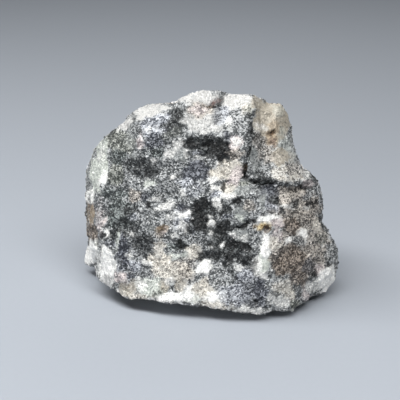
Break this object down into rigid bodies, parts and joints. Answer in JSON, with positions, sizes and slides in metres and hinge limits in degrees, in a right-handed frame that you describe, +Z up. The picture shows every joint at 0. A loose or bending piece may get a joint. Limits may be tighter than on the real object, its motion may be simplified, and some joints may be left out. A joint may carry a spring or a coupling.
{
  "type": "tugtupite specimen",
  "caption": "Hand-sized broken lump of sugary white, grey and black mineral rock, standing on a flat foot, for display as a collector's specimen.",
  "frame": {"origin": "on the surface that the stone stands on, under the middle of its bounding box", "axes": "+X along the stone's width to the right of its broad front, +Y from the front to the back, +Z up"},
  "size_m": [0.052, 0.0364, 0.0422],
  "materials": {
    "stone": "rough broken rock: white and beige sugary grains mixed with black and bluish-grey ones, with small ochre stains"
  },
  "bodies": {
    "root": {"stone": "stone"}
  },
  "joints": []
}
